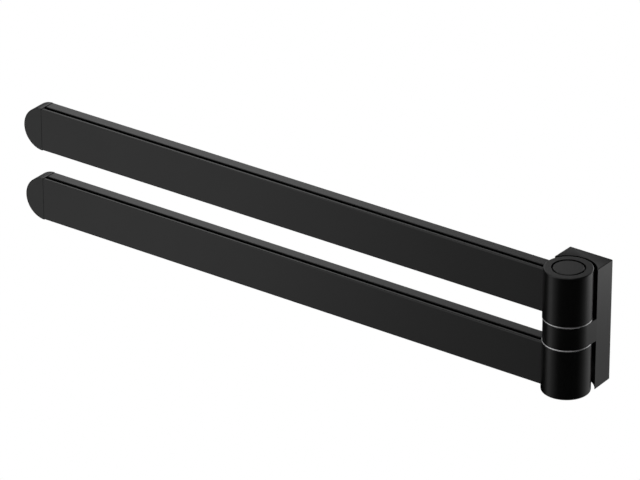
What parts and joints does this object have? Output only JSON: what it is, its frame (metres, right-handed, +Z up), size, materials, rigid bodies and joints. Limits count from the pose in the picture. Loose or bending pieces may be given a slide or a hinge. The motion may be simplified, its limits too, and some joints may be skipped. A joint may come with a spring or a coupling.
{
  "type": "swing arm towel bar",
  "caption": "Wall bracket with two flat black towel arms, one above the other, that swing on a shared upright pivot.",
  "frame": {"origin": "middle of the bracket's wall face", "axes": "+Z up; the wall is the plane Y = 0 with +Y into the wall, and the arms at rest point to -X along the wall"},
  "size_m": [0.4181, 0.0398, 0.0808],
  "materials": {
    "black_coat": "satin black powder coat",
    "black_extrusion": "satin black powder coat on extruded aluminium",
    "bright_steel": "fine turned stainless steel",
    "plated_steel": "zinc plated steel",
    "bush_polymer": "natural acetal"
  },
  "bodies": {
    "bracket": {"wall_plate": "plated_steel", "bracket_block": "black_coat", "plate_set_screw": "plated_steel", "hinge_pin": "bright_steel", "pin_set_screw": "plated_steel", "upper_thrust_washer": "bright_steel", "lower_thrust_washer": "bright_steel", "upper_disc_springs": "plated_steel", "lower_disc_springs": "plated_steel", "upper_cover_washer": "bright_steel", "lower_cover_washer": "bright_steel", "upper_pin_screw": "plated_steel", "lower_pin_screw": "plated_steel"},
    "upper_arm": {"upper_hub": "black_coat", "upper_inner_bush": "bush_polymer", "upper_outer_bush": "bush_polymer", "upper_arm_profile": "black_extrusion", "upper_front_strip": "black_extrusion", "upper_end_cap": "black_coat", "upper_arm_screws": "plated_steel", "upper_hub_cap": "black_coat"},
    "lower_arm": {"lower_hub": "black_coat", "lower_inner_bush": "bush_polymer", "lower_outer_bush": "bush_polymer", "lower_arm_profile": "black_extrusion", "lower_front_strip": "black_extrusion", "lower_end_cap": "black_coat", "lower_arm_screws": "plated_steel", "lower_hub_cap": "black_coat"}
  },
  "joints": [
    {"name": "upper_arm_swing", "type": "hinge", "parent": "bracket", "child": "upper_arm", "pos_m": [0, -0.0248, 0.02425], "axis": [0, 0, 1], "range_deg": [0, 180]},
    {"name": "lower_arm_swing", "type": "hinge", "parent": "bracket", "child": "lower_arm", "pos_m": [0, -0.0248, -0.02425], "axis": [0, 0, 1], "range_deg": [0, 180]}
  ]
}
